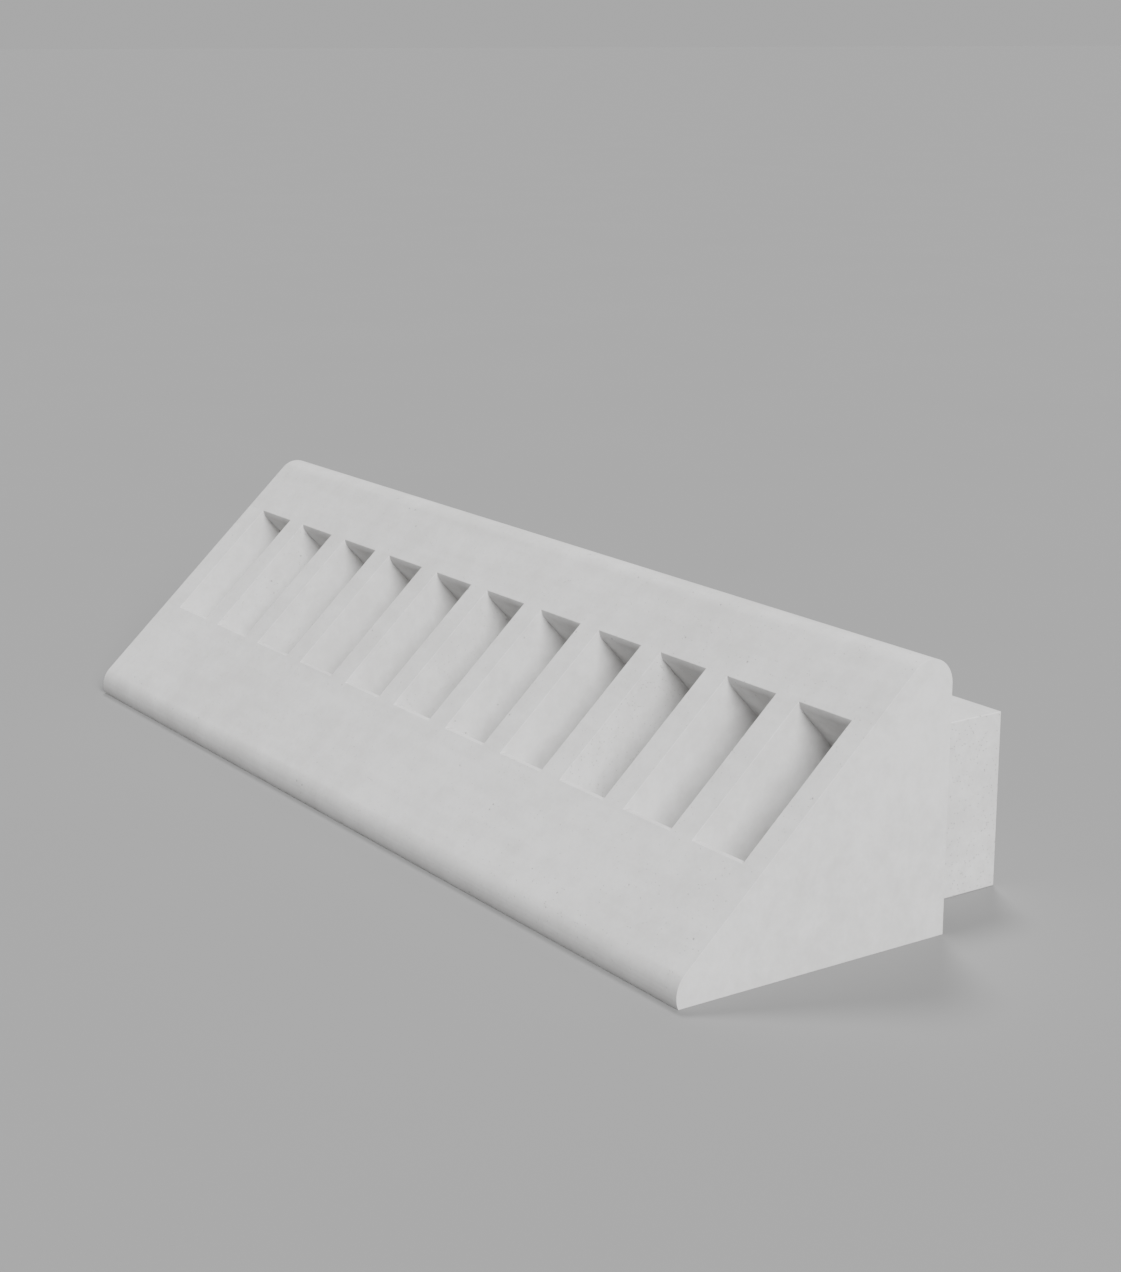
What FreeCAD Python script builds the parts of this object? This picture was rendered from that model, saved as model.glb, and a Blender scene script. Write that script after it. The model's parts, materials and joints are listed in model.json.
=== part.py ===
"""A precast concrete road barrier: a slotted wedge with a lower block tied against its upright back.

Millimetres. +X runs along the barrier, -Y is the side of the slope, +Z is up. The origin is in the
middle of the barrier's footprint, on the ground.

The wedge and the block are two castings, each cast round its own cage of hoops and long bars. Four
tie rods pull the block against the wedge, and each casting has two threaded sockets to lift it by.
"""
import FreeCAD, Part
import os
from math import tan

import Sketcher

DRIVING = [
    ("wedge_length", 3650, "wedge, end to end"),
    ("wedge_depth", 930, "wedge, front edge to upright back"),
    ("nose_height", 75, "height of the slope's own line above the front edge"),
    ("slope_angle", 42.14, "slope above level, in degrees"),
    ("nose_radius", 84, "rounding between the front edge and the slope"),
    ("ridge_radius", 81, "rounding between the slope and the back"),
    ("slot_width", 223, "slot, along the barrier"),
    ("slot_pitch", 323, "slot to slot"),
    ("slot_margin", 84, "first slot to the +X end"),
    ("least_margin", 80, "last slot to the -X end, at least"),
    ("slot_start", 368, "lower edge of a slot's mouth, up the slope"),
    ("slot_mouth", 499, "slot's mouth, measured up the slope"),
    ("slot_depth", 240, "slot, square to the slope"),
    ("sill_rise", 14, "the sill under the mouth, up the slope"),
    ("sill_drop", 17, "the sill under the mouth, square to the slope"),
    ("brow_rise", 10, "the rounded brow over the mouth, down the slope"),
    ("brow_drop", 27, "the rounded brow over the mouth, square to the slope"),
    ("block_length", 3250, "block, end to end"),
    ("block_depth", 392, "block, wedge to its own back"),
    ("block_height", 540, "block, ground to top"),
    ("cover", 50, "concrete over the hoops"),
    ("end_cover", 25, "concrete over the ends of the long bars"),
    ("hoop_diameter", 12, "hoop bar"),
    ("hoop_bend", 30, "bend of a hoop, to the middle of its bar"),
    ("bar_diameter", 16, "long bar"),
    ("steel_gap", 1, "concrete between bars that cross"),
    ("slot_cover", 50, "concrete between a slot's mouth and a long bar"),
    ("back_bar_low", 180, "lower long bar behind the slots, above the ground"),
    ("back_bar_mid", 370, "middle long bar behind the slots, above the ground"),
    ("back_bar_high", 560, "upper long bar behind the slots, above the ground"),
    ("side_bar_height", 400, "long bars half way up the block's sides"),
    ("tie_height", 270, "tie rods above the ground"),
    ("rod_diameter", 24, "tie rod"),
    ("thread_depth", 80, "length of rod or bolt that a socket takes"),
    ("rod_proud", 8, "rod past its nut"),
    ("socket_diameter", 40, "cast-in socket, outside"),
    ("socket_length", 110, "cast-in socket, without its foot"),
    ("foot_diameter", 70, "anchor foot of a socket"),
    ("foot_thickness", 12, "anchor foot of a socket"),
    ("sleeve_diameter", 34, "tube round a tie rod, outside"),
    ("sleeve_wall", 3.5, "tube round a tie rod, wall"),
    ("recess_side", 100, "square recess for the nut"),
    ("recess_depth", 60, "recess, from the block's back"),
    ("plate_side", 80, "square washer plate"),
    ("plate_thickness", 12, "square washer plate"),
    ("plate_clearance", 1, "washer plate hole round its rod, all round"),
    ("nut_flats", 36, "nut, across flats"),
    ("nut_height", 22, "nut"),
    ("lift_height", 650, "lifting sockets of the wedge, above the ground"),
    ("spacer_side", 40, "mortar spacer, square in plan"),
]

# Places that follow from the driving sizes: name, formula.
PLACES = [
    ("rib", "Sizes.slot_pitch - Sizes.slot_width"),
    (
        "slot_count",
        "floor((Sizes.wedge_length - Sizes.slot_margin - Sizes.least_margin + rib) / Sizes.slot_pitch)",
    ),
    ("far_margin", "Sizes.wedge_length - Sizes.slot_margin + rib - slot_count * Sizes.slot_pitch"),
    ("first_slot_x", "Sizes.wedge_length / 2 - Sizes.slot_margin"),
    ("slope_tan", "tan(Sizes.slope_angle)"),
    ("slope_sin", "sin(Sizes.slope_angle)"),
    ("slope_cos", "cos(Sizes.slope_angle)"),
    ("apex_height", "Sizes.nose_height + Sizes.wedge_depth * slope_tan"),
    ("nose_across", "Sizes.nose_radius - Sizes.nose_height * slope_cos"),
    ("nose_along", "sqrt(Sizes.nose_radius ^ 2 - nose_across ^ 2)"),
    ("overhang", "Sizes.nose_radius - nose_across * slope_sin - nose_along * slope_cos"),
    ("front_y", "(overhang - Sizes.wedge_depth - Sizes.block_depth) / 2"),
    ("joint_y", "front_y + Sizes.wedge_depth"),
    ("hoop_in", "Sizes.cover + Sizes.hoop_diameter / 2"),
    ("toe_y", "(hoop_in + hoop_in / slope_cos - Sizes.nose_height) / slope_tan"),
    ("crown_z", "apex_height - hoop_in * slope_tan - hoop_in / slope_cos"),
    ("bend_in", "hoop_in + Sizes.hoop_bend"),
    ("bar_in", "hoop_in + (Sizes.hoop_diameter + Sizes.bar_diameter) / 2 + Sizes.steel_gap"),
    ("nest", "Sizes.hoop_bend - (Sizes.hoop_diameter + Sizes.bar_diameter) / 2 - Sizes.steel_gap"),
    ("toe_bend_y", "toe_y + Sizes.hoop_bend / tan(Sizes.slope_angle / 2)"),
    ("crown_bend_z", "crown_z - Sizes.hoop_bend / tan(45 - Sizes.slope_angle / 2)"),
    ("mouth_end", "Sizes.slot_start + Sizes.slot_mouth"),
    ("recess_floor", "Sizes.block_depth - Sizes.recess_depth"),
]

EDGE_LINE = -1  # a sketch's own origin point and X axis
EDGE_UPRIGHT = -2  # a sketch's own Y axis
START, END = 1, 2
DIAGONAL = 0.5**0.5

doc = FreeCAD.newDocument("barrier")


def fill_sheet(label, rows, formula):
    """One row for each size: its name, its value and what it measures."""
    sheet = doc.addObject("Spreadsheet::Sheet", label)
    for row, (alias, value, *meaning) in enumerate(rows, start=1):
        sheet.set(f"A{row}", alias)
        sheet.set(f"B{row}", f"={value}" if formula else str(value))
        sheet.set(f"C{row}", meaning[0] if meaning else "")
        sheet.setAlias(f"B{row}", alias)
    doc.recompute()
    return sheet


sizes = fill_sheet("Sizes", DRIVING, formula=False)
places = fill_sheet("Places", PLACES, formula=True)


def value(text):
    """The number that a formula on the two sheets gives."""
    return float(sizes.evalExpression(text))


def bind(thing, **formulas):
    """Ties properties to the sheets; a double underscore stands for the dot in a property's path."""
    for name, formula in formulas.items():
        thing.setExpression(name.replace("__", "."), formula)


def place(thing, x="0", y="0", z="0"):
    for axis, formula in zip("xyz", (x, y, z)):
        thing.setExpression(f"Placement.Base.{axis}", formula)


def turned_towards(axis):
    """A placement whose own Z axis points along +X, +Y or +Z."""
    rotation = {"X": ((0, 1, 0), 90), "Y": ((1, 0, 0), -90), "Z": ((0, 0, 1), 0)}[axis]
    return FreeCAD.Placement(FreeCAD.Vector(), FreeCAD.Rotation(FreeCAD.Vector(*rotation[0]), rotation[1]))


# Helpers for primitives, booleans and groups.


def cylinder(name, axis, radius, height, x="0", y="0", z="0"):
    thing = doc.addObject("Part::Cylinder", name)
    thing.Placement = turned_towards(axis)
    bind(thing, Radius=radius, Height=height)
    place(thing, x, y, z)
    return thing


def box(name, length, width, height, x="0", y="0", z="0"):
    """A box whose corner of least x, y and z is at the place given."""
    thing = doc.addObject("Part::Box", name)
    bind(thing, Length=length, Width=width, Height=height)
    place(thing, x, y, z)
    return thing


def fuse(name, *things):
    joined = doc.addObject("Part::MultiFuse", name)
    joined.Shapes = list(things)
    return joined


def cut(name, base, tool):
    result = doc.addObject("Part::Cut", name)
    result.Base, result.Tool = base, tool
    return result


def group(name, things):
    gathered = doc.addObject("Part::Compound", name)
    gathered.Links = list(things)
    return gathered


# Helpers for sketches.


def origin_item(body, role):
    return next(item for item in body.Origin.OriginFeatures if item.Role == role)


def new_sketch(body, name, plane):
    sketch = body.newObject("Sketcher::SketchObject", name)
    sketch.AttachmentSupport = [(origin_item(body, plane), "")]
    sketch.MapMode = "FlatFace"
    return sketch


def limit(sketch, kind, *what, name, formula):
    """Adds a dimension to a sketch and ties it to the sheets."""
    index = sketch.addConstraint(Sketcher.Constraint(kind, *what, abs(value(formula))))
    sketch.renameConstraint(index, name)
    sketch.setExpression(f"Constraints.{name}", f"abs({formula})")


def relate(sketch, kind, *what):
    return sketch.addConstraint(Sketcher.Constraint(kind, *what))


def point(x, y):
    return FreeCAD.Vector(x, y, 0)


def add_point(sketch, x, y):
    """A construction point that two lines meet in."""
    return sketch.addGeometry(Part.Point(point(x, y)), True)


def rounded_outline(sketch, corners, radius):
    """A closed anticlockwise outline of lines and equal arcs; gives the lines, one after each corner."""
    count = len(corners)
    spots = [point(*corner) for corner in corners]
    lines, arcs, touches = [], [], []
    for i, spot in enumerate(spots):
        back = (spots[i - 1] - spot).normalize()
        ahead = (spots[(i + 1) % count] - spot).normalize()
        half = back.getAngle(ahead) / 2
        setback = radius / tan(half)
        inward = (back + ahead).normalize()
        centre = spot + inward * (setback**2 + radius**2) ** 0.5
        touches.append((spot + back * setback, spot + ahead * setback, centre))
    for i, (_, leaves, _) in enumerate(touches):
        arrives = touches[(i + 1) % count][0]
        lines.append(sketch.addGeometry(Part.LineSegment(leaves, arrives), False))
    for arrives, leaves, centre in touches:
        middle = centre + ((arrives + leaves) * 0.5 - centre).normalize() * radius
        arcs.append(sketch.addGeometry(Part.Arc(arrives, middle, leaves), False))
    for i, arc in enumerate(arcs):
        relate(sketch, "Tangent", lines[i - 1], END, arc, START)
        relate(sketch, "Tangent", arc, END, lines[i], START)
        if i:
            relate(sketch, "Equal", arcs[0], arc)
    return lines, arcs


# The wedge, as cast, before its steel is taken out of it.


def wedge_section(body):
    """Flat underside, upright back, rounded ridge, one slope and a rounded nose that ends in a sharp edge."""
    sketch = new_sketch(body, "wedge_section", "YZ_Plane")
    depth, apex = value("Sizes.wedge_depth"), value("Places.apex_height")
    nose, ridge = value("Sizes.nose_radius"), value("Sizes.ridge_radius")
    slope_sin, slope_cos = value("Places.slope_sin"), value("Places.slope_cos")
    along = point(slope_cos, slope_sin)
    inward = point(slope_sin, -slope_cos)
    setback = value("Sizes.ridge_radius / tan(45 - Sizes.slope_angle / 2)")
    nose_centre = inward * value("Places.nose_across") + along * value("Places.nose_along")
    nose_top = nose_centre - inward * nose
    nose_middle = nose_centre - point(nose, 0)
    ridge_low = point(depth, apex) - along * setback
    ridge_back = point(depth, apex - setback)
    ridge_centre = ridge_back - point(ridge, 0)
    under = sketch.addGeometry(Part.LineSegment(point(0, 0), point(depth, 0)), False)
    back = sketch.addGeometry(Part.LineSegment(point(depth, 0), ridge_back), False)
    crown = sketch.addGeometry(Part.Arc(ridge_back, ridge_centre + point(0, ridge), ridge_low), False)
    slope = sketch.addGeometry(Part.LineSegment(ridge_low, nose_top), False)
    front = sketch.addGeometry(Part.Arc(nose_top, nose_middle, point(0, 0)), False)
    peak = add_point(sketch, depth, apex)
    brink = add_point(sketch, 0, value("Sizes.nose_height"))
    relate(sketch, "Coincident", under, START, EDGE_LINE, START)
    relate(sketch, "Horizontal", under)
    relate(sketch, "Coincident", under, END, back, START)
    relate(sketch, "Vertical", back)
    relate(sketch, "Tangent", back, END, crown, START)
    relate(sketch, "Tangent", crown, END, slope, START)
    relate(sketch, "Tangent", slope, END, front, START)
    relate(sketch, "Coincident", front, END, under, START)
    relate(sketch, "PointOnObject", peak, START, back)
    relate(sketch, "PointOnObject", peak, START, slope)
    relate(sketch, "PointOnObject", brink, START, EDGE_UPRIGHT)
    relate(sketch, "PointOnObject", brink, START, slope)
    limit(sketch, "DistanceX", under, START, under, END, name="depth", formula="Sizes.wedge_depth")
    limit(sketch, "DistanceY", EDGE_LINE, START, peak, START, name="apex", formula="Places.apex_height")
    limit(sketch, "DistanceY", EDGE_LINE, START, brink, START, name="nose", formula="Sizes.nose_height")
    limit(sketch, "Radius", crown, name="ridge", formula="Sizes.ridge_radius")
    limit(sketch, "Radius", front, name="front", formula="Sizes.nose_radius")
    return sketch


def slot_section(body):
    """One slot seen from the end: X is up the slope, Y is out of it, and a rounded brow tops the mouth."""
    sketch = new_sketch(body, "slot_section", "YZ_Plane")
    sketch.AttachmentOffset = FreeCAD.Placement(
        FreeCAD.Vector(), FreeCAD.Rotation(FreeCAD.Vector(0, 0, 1), value("Sizes.slope_angle"))
    )
    bind(
        sketch,
        AttachmentOffset__Rotation__Angle="Sizes.slope_angle * 1 deg",
        AttachmentOffset__Base__y="Sizes.nose_height",
        AttachmentOffset__Base__z="Places.first_slot_x",
    )
    low, high = "Sizes.slot_start", "Places.mouth_end"
    corners = [
        (low, "Sizes.nose_radius"),
        (low, "0"),
        (f"{low} + Sizes.sill_rise", "-Sizes.sill_drop"),
        (f"{low} + Sizes.sill_rise", "-Sizes.slot_depth"),
        (f"{high} - Sizes.brow_rise", "-Sizes.slot_depth"),
        (f"{high} - Sizes.brow_rise", "-Sizes.brow_drop"),
        (high, "0"),
        (high, "Sizes.nose_radius"),
    ]
    spots = [point(value(across), value(out)) for across, out in corners]
    brow = 5
    rise, drop = value("Sizes.brow_rise"), value("Sizes.brow_drop")
    brow_radius = (rise**2 + drop**2) / (2 * rise)
    brow_centre = spots[brow] + point(brow_radius, 0)
    pieces = []
    for i, spot in enumerate(spots):
        after = spots[(i + 1) % len(spots)]
        if i == brow:
            middle = brow_centre + ((spot + after) * 0.5 - brow_centre).normalize() * brow_radius
            pieces.append(sketch.addGeometry(Part.Arc(spot, middle, after), False))
        else:
            pieces.append(sketch.addGeometry(Part.LineSegment(spot, after), False))
    # an arc drawn clockwise is kept anticlockwise, so its ends change places
    ends = [(END, START) if i == brow else (START, END) for i in range(len(pieces))]
    for i, piece in enumerate(pieces):
        after = (i + 1) % len(pieces)
        kind = "Tangent" if after == brow else "Coincident"
        relate(sketch, kind, piece, ends[i][1], pieces[after], ends[after][0])
    for i, (across, out) in enumerate(corners):
        spot = (pieces[i], ends[i][0])
        limit(sketch, "DistanceX", EDGE_LINE, START, *spot, name=f"across_{i}", formula=across)
        if out == "0":
            relate(sketch, "PointOnObject", *spot, EDGE_LINE)
        elif i != brow:
            down = out.startswith("-")
            span = (*spot, EDGE_LINE, START) if down else (EDGE_LINE, START, *spot)
            limit(sketch, "DistanceY", *span, name=f"out_{i}", formula=out)
    return sketch


def wedge_body():
    body = doc.addObject("PartDesign::Body", "wedge_as_cast")
    pad = body.newObject("PartDesign::Pad", "wedge_pad")
    pad.Profile = wedge_section(body)
    pad.SideType = "Symmetric"
    bind(pad, Length="Sizes.wedge_length")
    doc.recompute()
    whole = body.Shape.Volume
    pocket = body.newObject("PartDesign::Pocket", "first_slot")
    pocket.Profile = slot_section(body)
    bind(pocket, Length="Sizes.slot_width")
    row = body.newObject("PartDesign::LinearPattern", "slot_row")
    row.Originals = [pocket]
    row.Direction = (origin_item(body, "X_Axis"), [""])
    row.Reversed = True
    bind(row, Length="Sizes.slot_pitch * (Places.slot_count - 1)", Occurrences="Places.slot_count")
    body.Tip = row
    place(body, y="Places.front_y")
    doc.recompute()
    taken = whole - body.Shape.Volume
    most = value("Places.slot_count * Sizes.slot_width * Sizes.slot_mouth * Sizes.slot_depth")
    if not 0.9 * most < taken < most:
        raise RuntimeError(f"the slots take {taken:.0f} mm3 out of the wedge, and at most {most:.0f}")
    return body


def block_body():
    body = doc.addObject("PartDesign::Body", "block_as_cast")
    sketch = new_sketch(body, "block_section", "YZ_Plane")
    depth, height = value("Sizes.block_depth"), value("Sizes.block_height")
    spots = [point(0, 0), point(depth, 0), point(depth, height), point(0, height)]
    sides = [sketch.addGeometry(Part.LineSegment(a, b), False) for a, b in zip(spots, spots[1:] + spots[:1])]
    for i, side in enumerate(sides):
        relate(sketch, "Coincident", side, END, sides[(i + 1) % len(sides)], START)
        relate(sketch, "Vertical" if i % 2 else "Horizontal", side)
    relate(sketch, "Coincident", sides[0], START, EDGE_LINE, START)
    limit(sketch, "DistanceX", sides[0], START, sides[0], END, name="depth", formula="Sizes.block_depth")
    limit(sketch, "DistanceY", sides[1], START, sides[1], END, name="height", formula="Sizes.block_height")
    pad = body.newObject("PartDesign::Pad", "block_pad")
    pad.Profile = sketch
    pad.SideType = "Symmetric"
    bind(pad, Length="Sizes.block_length")
    place(body, y="Places.joint_y")
    return body


# The cages.


def hoop_body(name, draw_path, back_y, x, y):
    """A closed hoop of round bar, bent in the plane square to the barrier's length."""
    body = doc.addObject("PartDesign::Body", name)
    path = new_sketch(body, f"{name}_path", "YZ_Plane")
    draw_path(path)
    ring = new_sketch(body, f"{name}_ring", "XZ_Plane")
    bind(ring, AttachmentOffset__Base__z=f"-({back_y})")
    middle, out_of_plane = point(0, value("Places.hoop_in")), FreeCAD.Vector(0, 0, 1)
    steel = Part.Circle(middle, out_of_plane, value("Sizes.hoop_diameter / 2"))
    circle = ring.addGeometry(steel, False)
    centre = 3
    relate(ring, "PointOnObject", circle, centre, EDGE_UPRIGHT)
    limit(ring, "DistanceY", EDGE_LINE, START, circle, centre, name="height", formula="Places.hoop_in")
    limit(ring, "Radius", circle, name="steel", formula="Sizes.hoop_diameter / 2")
    doc.recompute()
    pipe = body.newObject("PartDesign::AdditivePipe", f"{name}_bar")
    pipe.Profile = ring
    pipe.Spine = (path, [])
    place(body, x=x, y=y)
    return body


def wedge_hoop_path(sketch):
    """Three legs: under, up the back and down the slope."""
    toe = (value("Places.toe_y"), value("Places.hoop_in"))
    heel = (value("Sizes.wedge_depth - Places.hoop_in"), toe[1])
    crown = (heel[0], value("Places.crown_z"))
    (under, back, slope), arcs = rounded_outline(sketch, [toe, heel, crown], value("Sizes.hoop_bend"))
    toe_point, crown_point = add_point(sketch, *toe), add_point(sketch, *crown)
    relate(sketch, "Horizontal", under)
    relate(sketch, "Vertical", back)
    for spot, leg in ((toe_point, under), (toe_point, slope), (crown_point, back), (crown_point, slope)):
        relate(sketch, "PointOnObject", spot, START, leg)
    back_formula = "Sizes.wedge_depth - Places.hoop_in"
    limit(sketch, "DistanceY", EDGE_LINE, START, under, START, name="under", formula="Places.hoop_in")
    limit(sketch, "DistanceX", EDGE_LINE, START, back, START, name="back", formula=back_formula)
    limit(sketch, "DistanceX", EDGE_LINE, START, toe_point, START, name="toe", formula="Places.toe_y")
    limit(sketch, "DistanceY", EDGE_LINE, START, crown_point, START, name="crown", formula="Places.crown_z")
    limit(sketch, "Radius", arcs[0], name="bend", formula="Sizes.hoop_bend")


def block_hoop_path(sketch):
    """Four legs, one along each side of the block's section."""
    formulas = ["Places.hoop_in", "Sizes.block_depth - Places.hoop_in", "Sizes.block_height - Places.hoop_in"]
    near, far, top = (value(formula) for formula in formulas)
    corners = [(near, near), (far, near), (far, top), (near, top)]
    (under, back, over, front), arcs = rounded_outline(sketch, corners, value("Sizes.hoop_bend"))
    for leg, way in ((under, "Horizontal"), (back, "Vertical"), (over, "Horizontal"), (front, "Vertical")):
        relate(sketch, way, leg)
    for leg, way, name, formula in (
        (under, "DistanceY", "under", formulas[0]),
        (front, "DistanceX", "front", formulas[0]),
        (back, "DistanceX", "back", formulas[1]),
        (over, "DistanceY", "over", formulas[2]),
    ):
        limit(sketch, way, EDGE_LINE, START, leg, START, name=name, formula=formula)
    limit(sketch, "Radius", arcs[0], name="bend", formula="Sizes.hoop_bend")


def slot_centre(number):
    """Where a slot's middle is along the barrier; slot 1 is at the +X end."""
    return f"Places.first_slot_x - Sizes.slot_width / 2 - {number - 1} * Sizes.slot_pitch"


def rib_centre(number):
    """Where the rib after a slot is; rib 0 and the last one are the solid ends."""
    if number == 0:
        return "Sizes.wedge_length / 2 - Sizes.slot_margin / 2"
    if number == SLOTS:
        return "Places.far_margin / 2 - Sizes.wedge_length / 2"
    return f"{slot_centre(number)} - Sizes.slot_pitch / 2"


def wedge_hoops():
    """One hoop in each rib between two slots, and one in each solid end."""
    back = "Sizes.wedge_depth - Places.bend_in"
    return [
        hoop_body(f"wedge_hoop_{i + 1:02d}", wedge_hoop_path, back, rib_centre(i), "Places.front_y")
        for i in range(SLOTS + 1)
    ]


def ribs_over_block():
    """The ribs that the shorter block has room for a hoop behind."""
    reach = value("Sizes.block_length / 2 - Sizes.cover")
    return [i for i in range(SLOTS + 1) if abs(value(rib_centre(i))) < reach]


def slots_over_block():
    """The slots whose tie has its whole recess, with cover, in the shorter block."""
    reach = value("Sizes.block_length / 2 - Sizes.cover - Sizes.recess_side / 2")
    return [i for i in range(1, SLOTS + 1) if abs(value(slot_centre(i))) <= reach]


def block_hoops():
    """Hoops in line with the wedge's."""
    back = "Sizes.block_depth - Places.bend_in"
    return [
        hoop_body(f"block_hoop_{i:02d}", block_hoop_path, back, rib_centre(rib), "Places.joint_y")
        for i, rib in enumerate(ribs_over_block(), start=1)
    ]


def long_bar(name, length, y, z):
    return cylinder(
        name,
        "X",
        "Sizes.bar_diameter / 2",
        f"{length} - 2 * Sizes.end_cover",
        x=f"Sizes.end_cover - {length} / 2",
        y=y,
        z=z,
    )


def wedge_bars():
    """Long bars inside the hoops: one nested in each bend, the rest along the three legs."""
    back = "Sizes.wedge_depth - Places.bar_in"
    square = f"Places.nest * {DIAGONAL:.6f}"
    half, crown_half = "Sizes.slope_angle / 2", "(45 - Sizes.slope_angle / 2)"
    under_slot = "(Sizes.slot_start - Sizes.slot_cover - Sizes.bar_diameter / 2)"
    over_slot = "(Places.mouth_end + Sizes.slot_cover + Sizes.bar_diameter / 2)"
    floor_y = "Sizes.slot_start * Places.slope_cos + Sizes.slot_depth * Places.slope_sin"
    heel_y = "Sizes.wedge_depth - Places.bend_in"

    def below_slope(up):
        y = f"{up} * Places.slope_cos + Places.bar_in * Places.slope_sin"
        z = f"Sizes.nose_height + {up} * Places.slope_sin - Places.bar_in * Places.slope_cos"
        return y, z

    spots = {
        "toe_bar": (
            f"Places.toe_bend_y - Places.nest * cos({half})",
            f"Places.bend_in - Places.nest * sin({half})",
        ),
        "underside_bar_front": (f"({floor_y}) * 2 / 3", "Places.bar_in"),
        "underside_bar_middle": (floor_y, "Places.bar_in"),
        "underside_bar_rear": (f"({floor_y} + {heel_y}) / 2", "Places.bar_in"),
        "heel_bar": (f"{heel_y} + {square}", f"Places.bend_in - {square}"),
        "back_bar_lower": (back, "Sizes.back_bar_low"),
        "back_bar_middle": (back, "Sizes.back_bar_mid"),
        "back_bar_upper": (back, "Sizes.back_bar_high"),
        "ridge_bar": (
            f"{heel_y} + Places.nest * sin({crown_half})",
            f"Places.crown_bend_z + Places.nest * cos({crown_half})",
        ),
        "slope_bar_upper": below_slope(over_slot),
        "slope_bar_lower": below_slope(under_slot),
    }
    return [
        long_bar(name, "Sizes.wedge_length", f"Places.front_y + {y}", z) for name, (y, z) in spots.items()
    ]


def block_bars():
    """Six long bars: one nested in each bend, and one half way up each side, over the tie rods."""
    square = f"Places.nest * {DIAGONAL:.6f}"
    front, rear = f"Places.bend_in - {square}", f"Sizes.block_depth - Places.bend_in + {square}"
    bottom, top = front, f"Sizes.block_height - Places.bend_in + {square}"
    spots = {
        "block_bar_front_bottom": (front, bottom),
        "block_bar_rear_bottom": (rear, bottom),
        "block_bar_front_top": (front, top),
        "block_bar_rear_top": (rear, top),
        "block_bar_front_middle": ("Places.bar_in", "Sizes.side_bar_height"),
        "block_bar_rear_middle": ("Sizes.block_depth - Places.bar_in", "Sizes.side_bar_height"),
    }
    return [
        long_bar(name, "Sizes.block_length", f"Places.joint_y + {y}", z) for name, (y, z) in spots.items()
    ]


def spacers(name, ribs, across, y):
    """Mortar spacers that held the cage off the floor of the mould, two under every third hoop."""
    half = "Sizes.spacer_side / 2"
    return group(
        name,
        [
            box(
                f"{name}_{rib}_{side}",
                "Sizes.spacer_side",
                "Sizes.spacer_side",
                "Sizes.cover - Sizes.steel_gap",
                x=f"{rib_centre(rib)} - {half}",
                y=f"{y} + {across} * {share} - {half}",
            )
            for rib in ribs[::3]
            for side, share in (("front", 0.3), ("rear", 0.75))
        ],
    )


# Sockets and ties.


def socket(name, axis, x, y, z):
    """A threaded socket with an anchor foot: its outside and its bore. Its open end faces +Y or +Z."""
    spot = {"x": x, "y": y, "z": z}

    def stretch(label, radius, depth, length):
        """A round stretch of the socket, from a depth under its open end."""
        along = axis.lower()
        where = spot | {along: f"{spot[along]} - {depth} - {length}"}
        return cylinder(f"{name}_{label}", axis, radius, length, **where)

    shank = stretch("shank", "Sizes.socket_diameter / 2", "0", "Sizes.socket_length")
    foot = stretch("foot", "Sizes.foot_diameter / 2", "Sizes.socket_length", "Sizes.foot_thickness")
    bore = stretch("bore", "Sizes.rod_diameter / 2", "0", "Sizes.thread_depth")
    return fuse(f"{name}_outside", shank, foot), bore


def tie(number, x):
    """A socket in the wedge, a rod in a sleeve through the block, and a plate and nut in a recess."""
    z = "Sizes.tie_height"
    name = f"tie_{number}"
    joint, seat = "Places.joint_y", "Places.joint_y + Places.recess_floor"
    nut_y = f"{seat} + Sizes.plate_thickness"

    def round_piece(label, radius, y, length):
        return cylinder(f"{name}_{label}", "Y", radius, length, x=x, y=y, z=z)

    def square_piece(label, side, thickness):
        """A square piece on the recess's floor, with the tie through its middle."""
        half = f"{side} / 2"
        return box(f"{name}_{label}", side, thickness, side, x=f"{x} - {half}", y=seat, z=f"{z} - {half}")

    outside, bore = socket(f"{name}_socket", "Y", x, joint, z)
    through = "Places.recess_floor"
    sleeve_outside = round_piece("sleeve_outside", "Sizes.sleeve_diameter / 2", joint, through)
    sleeve_bore = round_piece(
        "sleeve_bore", "Sizes.sleeve_diameter / 2 - Sizes.sleeve_wall", joint, through
    )
    rod = round_piece(
        "rod",
        "Sizes.rod_diameter / 2",
        f"{joint} - Sizes.thread_depth",
        f"Sizes.thread_depth + {through} + Sizes.plate_thickness + Sizes.nut_height + Sizes.rod_proud",
    )
    plate = cut(
        f"{name}_plate",
        square_piece("plate_blank", "Sizes.plate_side", "Sizes.plate_thickness"),
        round_piece(
            "plate_hole", "Sizes.rod_diameter / 2 + Sizes.plate_clearance", seat, "Sizes.plate_thickness"
        ),
    )
    blank = doc.addObject("Part::Prism", f"{name}_nut_blank")
    blank.Placement = turned_towards("Y")
    blank.Polygon = 6
    bind(blank, Circumradius="Sizes.nut_flats / (2 * cos(30))", Height="Sizes.nut_height")
    place(blank, x, nut_y, z)
    nut_bore = round_piece("nut_bore", "Sizes.rod_diameter / 2", nut_y, "Sizes.nut_height")
    nut = cut(f"{name}_nut", blank, nut_bore)
    recess = square_piece("recess", "Sizes.recess_side", "Sizes.recess_depth")
    return {
        "socket": cut(f"{name}_socket", outside, bore),
        "socket_outside": outside,
        "sleeve": cut(f"tie_sleeve_{number}", sleeve_outside, sleeve_bore),
        "sleeve_outside": sleeve_outside,
        "rod": rod,
        "plate": plate,
        "nut": nut,
        "recess": recess,
    }


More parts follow.
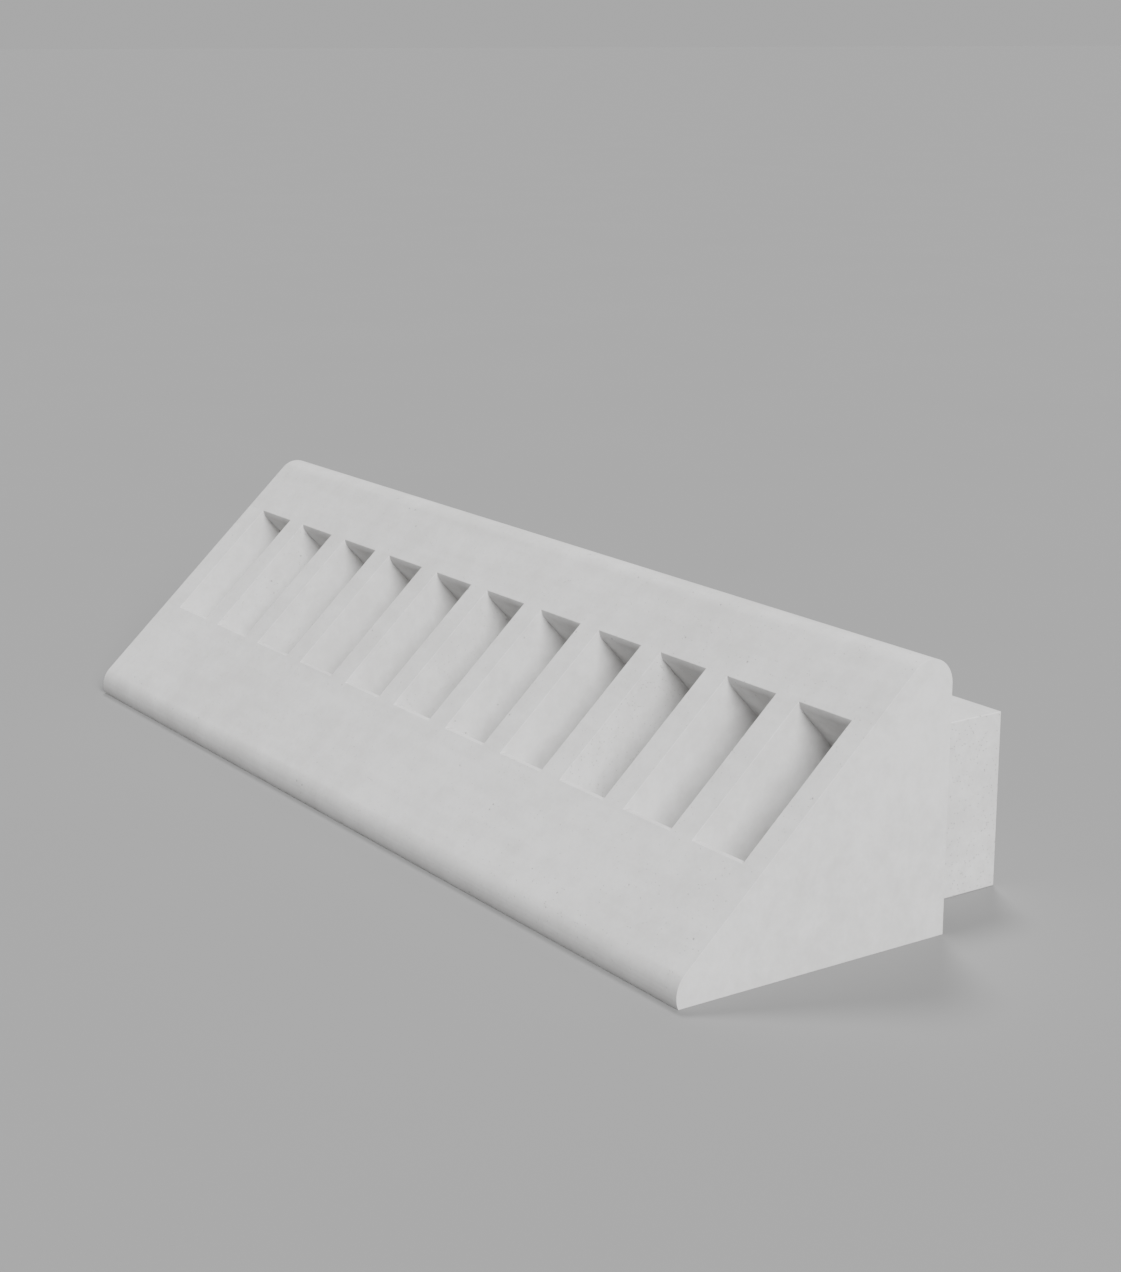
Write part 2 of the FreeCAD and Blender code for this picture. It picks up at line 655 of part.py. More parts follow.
SLOTS = round(value("Places.slot_count"))
MIDDLE = SLOTS // 2
OVER_BLOCK = slots_over_block()
TIE_SLOTS = (OVER_BLOCK[0], MIDDLE, SLOTS + 1 - MIDDLE, OVER_BLOCK[-1])
LIFT_SLOTS = (OVER_BLOCK[1], OVER_BLOCK[-2])

ties = [tie(i, slot_centre(slot)) for i, slot in enumerate(TIE_SLOTS, start=1)]
nodes = []
in_wedge = [t["socket_outside"] for t in ties]
in_block = [t["sleeve_outside"] for t in ties] + [t["recess"] for t in ties]

for side, slot in zip(("right", "left"), LIFT_SLOTS):
    x = slot_centre(slot)
    middle_y = "Places.joint_y + Sizes.block_depth / 2"
    back_outside, back_bore = socket(f"wedge_lift_{side}", "Y", x, "Places.joint_y", "Sizes.lift_height")
    top_outside, top_bore = socket(f"block_lift_{side}", "Z", x, middle_y, "Sizes.block_height")
    nodes.append(cut(f"wedge_lifting_socket_{side}", back_outside, back_bore))
    nodes.append(cut(f"block_lifting_socket_{side}", top_outside, top_bore))
    in_wedge.append(back_outside)
    in_block.append(top_outside)

wedge_spacers = spacers("wedge_spacers", range(SLOTS + 1), "Sizes.wedge_depth", "Places.front_y")
block_spacers = spacers("block_spacers", ribs_over_block(), "Sizes.block_depth", "Places.joint_y")
wedge_steel = wedge_hoops() + wedge_bars()
block_steel = block_hoops() + block_bars()
nodes += wedge_steel + block_steel + [wedge_spacers, block_spacers]
nodes += [t["sleeve"] for t in ties]
nodes += [group(f"tie_{kind}s", [t[kind] for t in ties]) for kind in ("socket", "rod", "plate", "nut")]
wedge_room = group("wedge_room", in_wedge + wedge_steel + [wedge_spacers])
block_room = group("block_room", in_block + block_steel + [block_spacers])
nodes.append(cut("wedge_casting", wedge_body(), wedge_room))
nodes.append(cut("block_casting", block_body(), block_room))
for node in nodes:
    node.Label = node.Name

doc.recompute()
faults = [thing.Name for thing in doc.Objects if {"Invalid", "Error"} & set(thing.State)]
faults += [node.Label for node in nodes if node.Shape.isNull() or not node.Shape.isValid()]
if faults:
    raise RuntimeError(f"these can't be built: {sorted(set(faults))}")

os.makedirs("parts", exist_ok=True)
for node in nodes:
    node.Shape.exportStep(f"parts/{node.Label}.step")
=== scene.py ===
"""Looks of the slotted concrete wedge barrier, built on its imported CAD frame. Metres, as the frame is."""
import json
import math

import bmesh
import bpy
from mathutils import Matrix, Vector


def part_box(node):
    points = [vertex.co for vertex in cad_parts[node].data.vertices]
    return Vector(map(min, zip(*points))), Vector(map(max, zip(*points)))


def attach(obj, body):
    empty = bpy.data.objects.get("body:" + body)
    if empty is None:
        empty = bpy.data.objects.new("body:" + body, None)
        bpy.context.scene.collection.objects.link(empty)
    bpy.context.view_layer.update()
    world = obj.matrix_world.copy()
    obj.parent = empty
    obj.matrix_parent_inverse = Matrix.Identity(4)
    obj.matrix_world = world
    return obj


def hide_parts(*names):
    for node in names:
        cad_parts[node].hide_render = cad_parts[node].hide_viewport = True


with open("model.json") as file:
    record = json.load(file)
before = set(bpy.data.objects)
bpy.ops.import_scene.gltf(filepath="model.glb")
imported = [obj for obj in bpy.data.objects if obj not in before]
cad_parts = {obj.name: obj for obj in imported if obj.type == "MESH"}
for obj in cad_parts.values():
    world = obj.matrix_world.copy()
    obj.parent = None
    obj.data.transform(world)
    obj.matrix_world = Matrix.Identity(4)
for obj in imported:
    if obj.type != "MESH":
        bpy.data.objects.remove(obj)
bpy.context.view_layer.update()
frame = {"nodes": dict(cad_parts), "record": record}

# ---------------------------------------------------------------- sizes and places

WEDGE_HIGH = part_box("wedge_casting")[1]
BLOCK_LOW, BLOCK_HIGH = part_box("block_casting")
HOOPS = sorted(name for name in frame["nodes"] if name.startswith("wedge_hoop_"))
SLEEVES = sorted(name for name in frame["nodes"] if name.startswith("tie_sleeve_"))


def middle(node):
    low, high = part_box(node)
    return (low + high) / 2


WEDGE_DEPTH = 0.930
JOINT_Y = WEDGE_HIGH.y
FRONT_Y = JOINT_Y - WEDGE_DEPTH
SLOPE = math.radians(42.14)
NOSE_HEIGHT = 0.075
NOSE_RADIUS = 0.084
RIDGE_RADIUS = 0.081
ALONG_SLOPE = Vector((0, math.cos(SLOPE), math.sin(SLOPE)))
OUT_OF_SLOPE = Vector((0, -math.sin(SLOPE), math.cos(SLOPE)))
SLOPE_FOOT = Vector((0, FRONT_Y, NOSE_HEIGHT))

RIB_PLACES = [middle(name).x for name in HOOPS[1:-1]]
SLOT_PITCH = RIB_PLACES[0] - RIB_PLACES[1]
SLOT_COUNT = len(HOOPS) - 1
SLOT_WIDTH = 0.223
SLOT_START = 0.368
SLOT_END = SLOT_START + 0.499
SLOT_DEPTH = 0.240
SILL_RISE, SILL_DROP = 0.014, 0.017
BROW_RISE, BROW_DROP = 0.010, 0.027
FIRST_SLOT_X = RIB_PLACES[0] + SLOT_PITCH / 2

TIES = [middle(name) for name in SLEEVES]
RECESS_SIDE = 0.100
RECESS_FLOOR_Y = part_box(SLEEVES[0])[1].y
PLATE_BACK_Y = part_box("tie_plates")[1].y
NUT_BACK_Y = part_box("tie_nuts")[1].y
NUT_LOW, NUT_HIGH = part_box("tie_nuts")
ROD_FRONT_Y, ROD_END_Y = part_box("tie_rods")[0].y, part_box("tie_rods")[1].y
ROD_RADIUS = 0.012
NUT_FLATS = NUT_HIGH.z - NUT_LOW.z
THREAD_PITCH, THREAD_DEPTH, THREAD_TURNS, THREAD_STEPS = 0.003, 0.0018, 7, 36
SOCKET_RADIUS = 0.020
SOCKET_LENGTH = 0.110

FLOOR_TONE = 0.24
SKY, HORIZON, NEAR_LIGHT, FAR_LIGHT = 0.08, 0.49, 6.8, 2.4

ARRIS = 0.004  # the softened edges of the castings
ROUND_STEPS = 192  # facets in a full turn of the ridge and the nose
SMOOTH_BELOW = math.radians(30)

# ---------------------------------------------------------------- modelling helpers


def only(piece):
    """Leaves one object selected and active."""
    if bpy.context.object and bpy.context.object.mode != "OBJECT":
        bpy.ops.object.mode_set(mode="OBJECT")
    bpy.ops.object.select_all(action="DESELECT")
    piece.select_set(True)
    bpy.context.view_layer.objects.active = piece


def named(name):
    """Names the object just added, and moves its place into its mesh."""
    piece = bpy.context.object
    piece.name = piece.data.name = name
    only(piece)
    bpy.ops.object.transform_apply(location=True, rotation=True, scale=True)
    return piece


def cuboid(name, low, high):
    bpy.ops.object.select_all(action="DESELECT")
    low, high = Vector(low), Vector(high)
    bpy.ops.mesh.primitive_cube_add(size=1, location=(low + high) / 2)
    bpy.context.object.scale = high - low
    return named(name)


def rod(name, radius, start, end, sides):
    """A round or many-sided bar between two points."""
    bpy.ops.object.select_all(action="DESELECT")
    start, end = Vector(start), Vector(end)
    turn = (end - start).to_track_quat("Z", "Y").to_euler()
    bpy.ops.mesh.primitive_cylinder_add(
        vertices=sides, radius=radius, depth=(end - start).length, location=(start + end) / 2, rotation=turn
    )
    return named(name)


def edit(piece, kind="FACE"):
    """Opens a mesh for editing with nothing selected."""
    only(piece)
    bpy.ops.object.mode_set(mode="EDIT")
    bpy.ops.mesh.select_mode(type=kind)
    bpy.ops.mesh.select_all(action="DESELECT")


def close():
    bpy.ops.object.mode_set(mode="OBJECT")


def pick(piece, kind, test):
    """Selects the faces, edges or points whose middle passes a test."""
    net = bmesh.from_edit_mesh(piece.data)
    for face in net.faces:
        face.select_set(False)
    for item in {"FACE": net.faces, "EDGE": net.edges, "VERT": net.verts}[kind]:
        spots = [item.co] if kind == "VERT" else [point.co for point in item.verts]
        if test(sum(spots, Vector()) / len(spots)):
            item.select_set(True)
    bmesh.update_edit_mesh(piece.data)


def finish_with(piece, kind, **settings):
    """Adds a modifier and applies it."""
    only(piece)
    modifier = piece.modifiers.new(kind.lower(), kind)
    for name, value in settings.items():
        setattr(modifier, name, value)
    bpy.ops.object.modifier_apply(modifier=modifier.name)


def cut(piece, tool, operation="DIFFERENCE"):
    """Cuts one mesh with another, and throws the tool away."""
    finish_with(piece, "BOOLEAN", object=tool, operation=operation, solver="EXACT", use_self=True)
    bpy.data.objects.remove(tool)


def join(pieces):
    only(pieces[0])
    for piece in pieces[1:]:
        piece.select_set(True)
    if len(pieces) > 1:
        bpy.ops.object.join()
    return pieces[0]


def copy_of(node):
    """A closed mesh with the shape of a CAD node."""
    piece = frame["nodes"][node].copy()
    piece.data = frame["nodes"][node].data.copy()
    piece.parent = None
    for key in list(piece.keys()):
        del piece[key]
    piece.name = f"{node}_copy"
    bpy.context.scene.collection.objects.link(piece)
    edit(piece)
    bpy.ops.mesh.select_all(action="SELECT")
    bpy.ops.mesh.remove_doubles(threshold=1e-6)
    close()
    return piece


def soften(piece, width=ARRIS, segments=3):
    """Rounds the edges a little, and shades flat faces flat and round ones round."""
    finish_with(
        piece,
        "BEVEL",
        width=width,
        segments=segments,
        limit_method="ANGLE",
        angle_limit=math.radians(28),
        use_clamp_overlap=True,
        miter_outer="MITER_ARC",
    )
    shade(piece)


def shade(piece):
    only(piece)
    bpy.ops.object.shade_smooth_by_angle(angle=SMOOTH_BELOW)
    finish_with(piece, "WEIGHTED_NORMAL", weight=100, keep_sharp=True)


def clean(piece):
    """Joins doubled points and turns every face outwards."""
    edit(piece)
    bpy.ops.mesh.select_all(action="SELECT")
    bpy.ops.mesh.remove_doubles(threshold=1e-5)
    bpy.ops.mesh.normals_make_consistent(inside=False)
    close()


# ---------------------------------------------------------------- the wedge


def wedge_blank():
    """The wedge without its slots: the hull of its nose, its ridge and its back, cut off at the ground."""
    nose_across = NOSE_RADIUS - NOSE_HEIGHT * math.cos(SLOPE)
    nose_along = math.sqrt(NOSE_RADIUS**2 - nose_across**2)
    nose = Vector((0, FRONT_Y, 0)) - OUT_OF_SLOPE * nose_across + ALONG_SLOPE * nose_along
    apex = NOSE_HEIGHT + WEDGE_DEPTH * math.tan(SLOPE)
    ridge_z = apex - RIDGE_RADIUS / math.tan(math.pi / 4 - SLOPE / 2)
    ridge = Vector((0, JOINT_Y - RIDGE_RADIUS, ridge_z))
    half = Vector((WEDGE_HIGH.x, 0, 0))
    below = Vector((0, 0, -NOSE_RADIUS))
    parts = [
        rod("nose", NOSE_RADIUS, nose - half, nose + half, ROUND_STEPS),
        rod("ridge", RIDGE_RADIUS, ridge - half, ridge + half, ROUND_STEPS),
        cuboid("back", ridge - half + below * 10, (WEDGE_HIGH.x, JOINT_Y, ridge.z)),
    ]
    wedge = join(parts)
    edit(wedge)
    bpy.ops.mesh.select_all(action="SELECT")
    bpy.ops.mesh.convex_hull()
    bpy.ops.mesh.select_all(action="SELECT")
    bpy.ops.mesh.bisect(plane_co=(0, 0, 0), plane_no=(0, 0, 1), use_fill=True, clear_inner=True)
    bpy.ops.mesh.select_all(action="SELECT")
    bpy.ops.mesh.remove_doubles(threshold=1e-5)
    bpy.ops.mesh.dissolve_limited(angle_limit=math.radians(0.3))
    bpy.ops.mesh.normals_make_consistent(inside=False)
    close()
    wedge.name = wedge.data.name = "wedge_shell"
    return wedge


def slot_former():
    """The box that forms one slot, drawn flat: Y is up the slope and Z is out of it."""
    low, high = SLOT_START + SILL_RISE, SLOT_END - BROW_RISE
    former = cuboid("slot_former", (-SLOT_WIDTH / 2, low, -SLOT_DEPTH), (SLOT_WIDTH / 2, high, -BROW_DROP))
    brow_radius = (BROW_RISE**2 + BROW_DROP**2) / (2 * BROW_RISE)

    def mouth_at(out):
        """The lower and the upper edge of the slot at a depth under the slope."""
        sill = min(max((out + SILL_DROP) / SILL_DROP, 0), 1) * SILL_RISE
        rise = min(out, 0) + BROW_DROP
        return low - sill, high + brow_radius - math.sqrt(brow_radius**2 - rise**2)

    brow_steps = 6
    levels = {-BROW_DROP * (1 - (i + 1) / brow_steps) for i in range(brow_steps)} | {-SILL_DROP, 0.05}
    edit(former)
    pick(former, "FACE", lambda spot: spot.z > -BROW_DROP - 1e-6)
    out = -BROW_DROP
    edges = mouth_at(out)
    for level in sorted(levels):
        bpy.ops.mesh.extrude_region_move(TRANSFORM_OT_translate={"value": (0, 0, level - out)})
        new_edges = mouth_at(level)
        centre = sum(edges) / 2
        for edge, new_edge in zip(edges, new_edges):
            side = edge > centre
            pick(former, "EDGE", lambda spot: abs(spot.z - level) < 1e-6 and abs(spot.y - edge) < 1e-5)
            if side or new_edge != edge:
                bpy.ops.transform.translate(value=(0, new_edge - edge, 0))
        pick(former, "FACE", lambda spot: abs(spot.z - level) < 1e-6)
        out, edges = level, new_edges
    close()
    former.data.transform(
        Matrix.Translation(SLOPE_FOOT + Vector((FIRST_SLOT_X, 0, 0))) @ Matrix.Rotation(SLOPE, 4, "X")
    )
    finish_with(
        former,
        "ARRAY",
        count=SLOT_COUNT,
        use_relative_offset=False,
        use_constant_offset=True,
        constant_offset_displace=(-SLOT_PITCH, 0, 0),
    )
    clean(former)
    return former


def socket_former(name, reach):
    """The round hole that a lifting socket fills, from its open end inwards."""
    centre = middle(name)
    low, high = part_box(name)
    ends = [centre.copy(), centre.copy()]
    axis = "z" if high.z == BLOCK_HIGH.z else "y"
    setattr(ends[0], axis, getattr(high, axis) + reach)
    setattr(ends[1], axis, getattr(high, axis) - SOCKET_LENGTH)
    return rod(f"{name}_former", SOCKET_RADIUS, ends[1], ends[0], 48)


def wedge_shell():
    wedge = wedge_blank()
    cut(wedge, slot_former())
    soften(wedge)
    for side in ("right", "left"):
        cut(wedge, socket_former(f"wedge_lifting_socket_{side}", 0.01))
    cut(wedge, copy_of("wedge_spacers"))
    shade(wedge)
    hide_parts("wedge_casting")
    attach(wedge, "root")
    return wedge


# ---------------------------------------------------------------- the block


def recess_former(tie):
    """The box that forms the square recess round a tie's end."""
    half = Vector((RECESS_SIDE / 2, 0, RECESS_SIDE / 2))
    low = Vector((tie.x, RECESS_FLOOR_Y, tie.z)) - half
    high = Vector((tie.x, BLOCK_HIGH.y, tie.z)) + half
    return cuboid("recess_former", low, high + Vector((0, 0.02, 0)))


def block_shell():
    block = cuboid("block_shell", BLOCK_LOW, BLOCK_HIGH)
    for tie in TIES:
        cut(block, recess_former(tie))
    soften(block)
    for side in ("right", "left"):
        cut(block, socket_former(f"block_lifting_socket_{side}", 0.01))
    cut(block, copy_of("block_spacers"))
    shade(block)
    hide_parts("block_casting")
    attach(block, "root")
    return block


# ---------------------------------------------------------------- ties


def hex_nuts():
    """Nuts with their corners turned off on both faces, as real ones have."""
    nuts = []
    radius = NUT_FLATS / 2 / math.cos(math.pi / 6)
    for i, tie in enumerate(TIES, start=1):
        start = Vector((tie.x, PLATE_BACK_Y, tie.z))
        end = Vector((tie.x, NUT_BACK_Y, tie.z))
        nut = rod(f"tie_nut_{i}", radius, start, end, 6)
        nut.data.transform(
            Matrix.Translation(start) @ Matrix.Rotation(math.radians(30), 4, "Y") @ Matrix.Translation(-start)
        )
        turned = rod("turned", radius * 1.01, start, end, 64)
        edit(turned, "EDGE")
        pick(turned, "EDGE", lambda spot: abs(spot.y - start.y) < 1e-6 or abs(spot.y - end.y) < 1e-6)
        bpy.ops.mesh.bevel(offset=radius * 0.09, segments=1)
        close()
        cut(nut, turned, "INTERSECT")
        cut(nut, rod("nut_bore", ROD_RADIUS, start - Vector((0, 0.01, 0)), end + Vector((0, 0.01, 0)), 48))
        soften(nut, width=0.0006, segments=2)
        nuts.append(nut)
    piece = join(nuts)
    piece.name = piece.data.name = "tie_nuts_turned"
    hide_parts("tie_nuts")
    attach(piece, "root")
    return piece


def thread(tie, start):
    """A V-shaped rib wound round a rod, from a place along it to its end."""
    bpy.ops.object.select_all(action="DESELECT")
    bpy.ops.mesh.primitive_circle_add(vertices=3, radius=THREAD_DEPTH)
    rib = bpy.context.object
    root = ROD_RADIUS - THREAD_DEPTH - 0.0002
    corners = [(root, -0.47), (ROD_RADIUS, 0), (root, 0.47)]
    for point, (radius, share) in zip(rib.data.vertices, corners):
        point.co = (radius, 0, THREAD_PITCH * share)
    finish_with(
        rib,
        "SCREW",
        angle=math.tau,
        screw_offset=THREAD_PITCH,
        iterations=THREAD_TURNS,
        steps=THREAD_STEPS,
        render_steps=THREAD_STEPS,
    )
    rib.location = (tie.x, start + THREAD_PITCH / 2, tie.z)
    rib.rotation_euler = (-math.pi / 2, 0, 0)
    rib = named(f"thread_{tie.x:.3f}")
    edit(rib, "EDGE")
    bpy.ops.mesh.select_non_manifold()
    bpy.ops.mesh.fill_holes(sides=3)
    bpy.ops.mesh.select_all(action="SELECT")
    bpy.ops.mesh.normals_make_consistent(inside=False)
    close()
    return rib


def threaded_rods():
    """Round rods whose rear ends are cut down to a core with a thread round it."""
    rods = []
    for tie in TIES:
        cut_down = ROD_END_Y - (THREAD_TURNS + 1) * THREAD_PITCH
        spots = [Vector((tie.x, y, tie.z)) for y in (ROD_FRONT_Y, cut_down, ROD_END_Y)]
        shank = rod("shank", ROD_RADIUS, spots[0], spots[1], 48)
        core = rod("core", ROD_RADIUS - THREAD_DEPTH, spots[1] - Vector((0, 0.002, 0)), spots[2], 48)
        for piece in (shank, core):
            soften(piece, width=0.0008, segments=2)
        rods += [shank, core, thread(tie, cut_down)]
    piece = join(rods)
    piece.name = piece.data.name = "tie_rods_threaded"
    shade(piece)
    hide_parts("tie_rods")
    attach(piece, "root")
    return piece


# ---------------------------------------------------------------- finishes


class Wire:
    """A node's output, or a sum of outputs, that reads as a number in Python."""

    def __init__(self, finish, socket):
        self.finish, self.socket = finish, socket

    def _with(self, operation, first, second):
        return self.finish.node("ShaderNodeMath", {"operation": operation}, {0: first, 1: second})

    def __add__(self, other):
        return self._with("ADD", self, other)

    def __sub__(self, other):
        return self._with("SUBTRACT", self, other)

    def __rsub__(self, other):
        return self._with("SUBTRACT", other, self)

    def __mul__(self, other):
        return self._with("MULTIPLY", self, other)

    __radd__, __rmul__ = __add__, __mul__

    def at_most(self, other):
        return self._with("MINIMUM", self, other)

    def at_least(self, other):
        return self._with("MAXIMUM", self, other)


class Finish:
    """One node material, read in the object's own metres."""

    def __init__(self, name):
        self.material = bpy.data.materials.new(name)
        self.material.use_nodes = True
        self.tree = self.material.node_tree
        self.shader = self.tree.nodes["Principled BSDF"]
        self.place = self.node("ShaderNodeTexCoord", output="Object")

    def node(self, kind, settings=None, sockets=None, output=0):
        """Any node, its settings, its inputs by name or number, and which output to read."""
        made = self.tree.nodes.new(kind)
        for name, value in (settings or {}).items():
            setattr(made, name, value)
        for name, value in (sockets or {}).items():
            if isinstance(value, Wire):
                self.tree.links.new(value.socket, made.inputs[name])
            else:
                made.inputs[name].default_value = value
        return Wire(self, made.outputs[output])

    def noise(self, scale, detail=4.0, roughness=0.55, place=None):
        sockets = {"Vector": place or self.place, "Scale": scale, "Detail": detail, "Roughness": roughness}
        return self.node("ShaderNodeTexNoise", {}, sockets, "Fac")

    def cells(self, scale, output="Distance", place=None):
        return self.node("ShaderNodeTexVoronoi", {}, {"Vector": place or self.place, "Scale": scale}, output)

    def holes(self, scale, inner, outer, rare, place):
        """Round holes, 1 inside and 0 outside, in the few cells that a random number picks."""
        edge = self.step(self.cells(scale, "Distance", place), inner, outer)
        picked = self.node("ShaderNodeSeparateColor", {}, {0: self.cells(scale, "Color", place)}, 0)
        return (1 - edge) * self.step(picked, rare, rare + 0.02)

    def step(self, wire, low, high):
        """0 under low, 1 over high, smooth between."""
        settings = {"interpolation_type": "SMOOTHSTEP"}
        return self.node("ShaderNodeMapRange", settings, {"Value": wire, "From Min": low, "From Max": high})

    def blend(self, share, first, second):
        settings = {"data_type": "RGBA"}
        return self.node("ShaderNodeMix", settings, {0: share, 6: first, 7: second}, 2)

    def height(self):
        """The height above the ground."""
        return self.node("ShaderNodeSeparateXYZ", {}, {0: self.place}, "Z")

    def bump(self, wire, distance, strength=1.0, under=None):
        sockets = {"Height": wire, "Distance": distance, "Strength": strength}
        if under:
            sockets["Normal"] = under
        return self.node("ShaderNodeBump", {}, sockets)

    def feed(self, **sockets):
        """Links or sets the shader's own inputs; an underscore stands for a space."""
        for name, value in sockets.items():
            target = self.shader.inputs[name.replace("_", " ")]
            if isinstance(value, Wire):
                self.tree.links.new(value.socket, target)
            else:
                target.default_value = value
        return self.material


def grey(level, warmth=0.0):
    """A grey, a little warm or cold, as a colour with its alpha."""
    return (level * (1 + warmth), level, level * (1 - warmth), 1.0)


def concrete(name, tone, seed_shift):
    """Pale fair-faced concrete: cloudy cement, sand grain, pin holes with painted shade in them and a trace
    of the form's face.
    """
    finish = Finish(name)
    shift = {"Vector": finish.place, "Location": (seed_shift, seed_shift * 0.7, 0)}
    here = finish.node("ShaderNodeMapping", {}, shift)
    clouds = finish.noise(1.3, 5, 0.6, here)
    mottle = finish.noise(9, 6, 0.62, here)
    sand = finish.noise(420, 3, 0.7, here)
    grain = finish.noise(70, 5, 0.65, here)
    board = finish.node("ShaderNodeMapping", {}, {"Vector": here, "Scale": (0.6, 9.0, 9.0)})
    streaks = finish.noise(3.0, 4, 0.5, board)
    pins = finish.holes(95, 0.10, 0.20, 0.80, here)
    blowholes = finish.holes(26, 0.06, 0.11, 0.86, here)
    voids = pins.at_least(blowholes)
    level = clouds * 0.10 + mottle * 0.10 + streaks * 0.05 + grain * 0.05 + sand * 0.03
    share = finish.step(level, 0.128, 0.204)
    pale, deep = grey(tone * 1.05, 0.005), grey(tone * 0.87, 0.012)
    colour = finish.blend(share, deep, pale)
    # painted shade: the pin holes and blowholes are painted darker, for the shade that falls inside them
    colour = finish.blend(voids * 0.55, colour, grey(tone * 0.45, 0.02))
    low = 1 - finish.step(finish.height(), 0.0, 0.06)
    colour = finish.blend(low * mottle * 0.16, colour, grey(tone * 0.72, 0.03))
    relief = finish.bump(sand * 0.6 + grain * 0.4, 0.0004, 0.35)
    relief = finish.bump(1 - voids, 0.0015, 0.9, relief)
    return finish.feed(
        Base_Color=colour,
        Roughness=(grain * 0.14 + 0.80).at_most(0.95),
        Normal=relief,
        Specular_IOR_Level=0.30,
    )


def mortar():
    finish = Finish("spacer_mortar")
    sand = finish.noise(300, 4, 0.7)
    colour = finish.blend(finish.step(sand, 0.35, 0.65), grey(0.26, 0.02), grey(0.36, 0.02))
    return finish.feed(Base_Color=colour, Roughness=sand * 0.1 + 0.85, Normal=finish.bump(sand, 0.0005, 0.6))


def rusty_bar():
    """Hot-rolled bar: blue-grey mill scale that rust has started to eat through."""
    finish = Finish("reinforcing_steel")
    patches = finish.noise(22, 6, 0.65)
    freckles = finish.noise(160, 4, 0.7)
    rust = finish.step(patches + freckles * 0.35, 0.55, 0.78)
    tint = finish.blend(freckles, (0.25, 0.085, 0.03, 1), (0.38, 0.16, 0.06, 1))
    colour = finish.blend(rust, (0.085, 0.085, 0.095, 1), tint)
    return finish.feed(
        Base_Color=colour,
        Metallic=0.75 - rust * 0.7,
        Roughness=rust * 0.4 + 0.45,
        Normal=finish.bump(patches * 0.5 + freckles * 0.5, 0.0006, 0.5),
    )


def zinc(name, tone, spangle, dull):
    """Zinc on steel: crystals of slightly different grey, with white bloom in places."""
    finish = Finish(name)
    crystals = finish.node("ShaderNodeSeparateColor", {}, {0: finish.cells(spangle, "Color")}, 0)
    bloom = finish.step(finish.noise(45, 5, 0.65), 0.5, 0.72)
    flecks = finish.noise(500, 3, 0.6)
    colour = finish.blend(crystals * 0.6 + flecks * 0.3, grey(tone * 0.8, -0.02), grey(tone * 1.1, -0.015))
    colour = finish.blend(bloom * 0.4, colour, grey(0.62))
    return finish.feed(
        Base_Color=colour,
        Metallic=0.95 - bloom * 0.5,
        Roughness=crystals * 0.12 + bloom * 0.2 + dull,
        Normal=finish.bump(flecks + crystals * 0.5, 0.0002, 0.25),
    )


FINISHES = {
    "wedge_concrete": lambda: concrete("wedge_concrete", 0.60, 0.0),
    "block_concrete": lambda: concrete("block_concrete", 0.59, 7.3),
    "spacer_mortar": mortar,
    "reinforcing_steel": rusty_bar,
    "socket_steel": lambda: zinc("socket_steel", 0.50, 180, 0.34),
    "sleeve_steel": lambda: zinc("sleeve_steel", 0.34, 260, 0.42),
    "rod_steel": lambda: zinc("rod_steel", 0.44, 320, 0.36),
    "galvanised_steel": lambda: zinc("galvanised_steel", 0.52, 120, 0.38),
}


def dress(made):
    """Gives every new piece and every CAD node its finish."""
    finishes = {name: make() for name, make in FINISHES.items()}
    wanted = {row["node"]: row["material_slot"] for row in frame["record"]["subparts"]}
    for name, node in frame["nodes"].items():
        made.append((node, wanted[name]))
    for piece, name in made:
        piece.data.materials.clear()
        piece.data.materials.append(finishes[name])


# ---------------------------------------------------------------- floor, light and camera


def floor():
    bpy.ops.object.select_all(action="DESELECT")
    bpy.ops.mesh.primitive_plane_add(size=4000)
    plane = named("floor")
    finish = Finish("floor_paint")
    cloud = finish.noise(0.8, 3, 0.5)
    colour = finish.blend(cloud, grey(FLOOR_TONE * 0.98), grey(FLOOR_TONE * 1.02))
    plane.data.materials.append(finish.feed(Base_Color=colour, Roughness=0.9, Specular_IOR_Level=0.1))


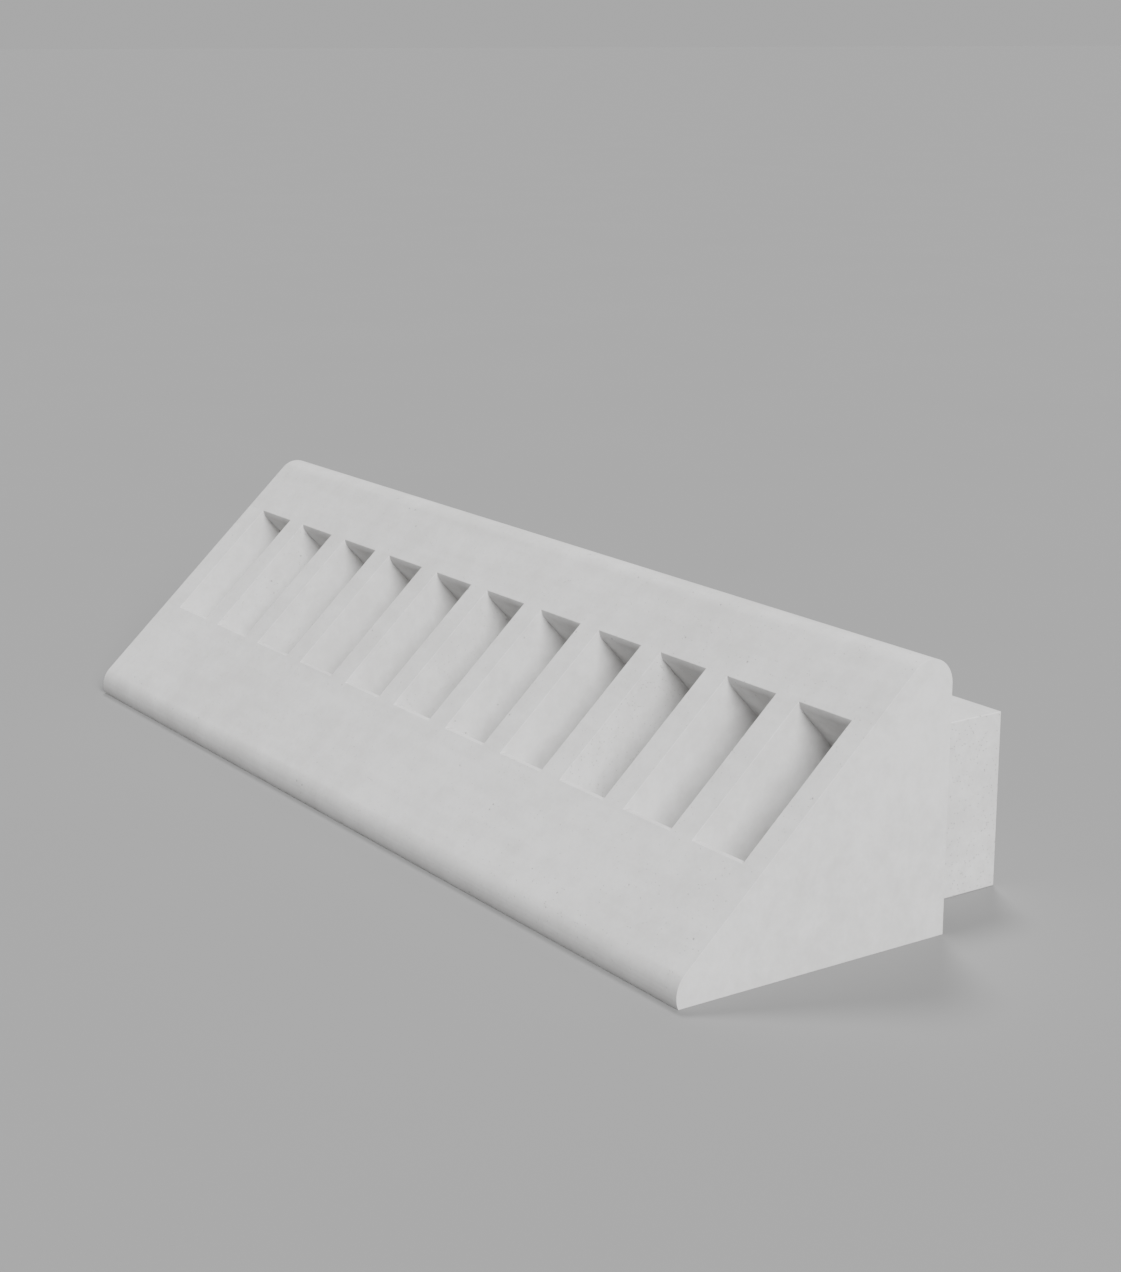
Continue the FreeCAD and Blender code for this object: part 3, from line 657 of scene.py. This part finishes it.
def soft_light(name, towards, strength, spread):
    """A broad light from a direction, as even over the floor as over the barrier."""
    turn = Vector(towards).to_track_quat("Z", "Y").to_euler()
    bpy.ops.object.light_add(type="SUN", rotation=turn)
    lamp = bpy.context.object
    lamp.name = name
    lamp.data.energy = strength
    lamp.data.angle = math.radians(spread)


def studio():
    """A room that is pale at the height of the barrier and dim above, and two broad lights."""
    world = bpy.data.worlds.new("studio")
    bpy.context.scene.world = world
    world.use_nodes = True
    tree = world.node_tree
    backdrop = tree.nodes["Background"]
    backdrop.inputs["Color"].default_value = (1.0, 1.0, 1.0, 1)
    towards = tree.nodes.new("ShaderNodeTexCoord").outputs["Generated"]
    rise = tree.nodes.new("ShaderNodeSeparateXYZ")
    fade = tree.nodes.new("ShaderNodeMapRange")
    fade.interpolation_type = "SMOOTHSTEP"
    for name, value in (("From Min", 0.10), ("From Max", 0.30), ("To Min", HORIZON), ("To Max", SKY)):
        fade.inputs[name].default_value = value
    tree.links.new(towards, rise.inputs[0])
    tree.links.new(rise.outputs["Z"], fade.inputs["Value"])
    tree.links.new(fade.outputs[0], backdrop.inputs["Strength"])
    soft_light("light_over_near_end", (0.76, -0.22, 0.61), NEAR_LIGHT, 36)
    soft_light("light_over_far_end", (-0.43, 0.27, 0.86), FAR_LIGHT, 14)


def camera():
    """The viewpoint: right of the near end, above the ridge, looking down the barrier."""
    azimuth, elevation, roll = (math.radians(angle) for angle in (55.857, 14.625, -0.184))
    spot = Vector((6.397, -4.125, 2.503))
    turn = Matrix.Rotation(azimuth, 4, "Z") @ Matrix.Rotation(math.pi / 2 - elevation, 4, "X")
    turn = turn @ Matrix.Rotation(roll, 4, "Z")
    bpy.ops.object.camera_add(location=spot, rotation=turn.to_euler())
    seen = bpy.context.object
    seen.data.sensor_width = 36
    seen.data.lens = 67.16
    seen.data.clip_end = 200
    bpy.context.scene.camera = seen


camera()
pieces = [
    (wedge_shell(), "wedge_concrete"),
    (block_shell(), "block_concrete"),
    (hex_nuts(), "galvanised_steel"),
    (threaded_rods(), "rod_steel"),
]
dress(pieces)
floor()
studio()
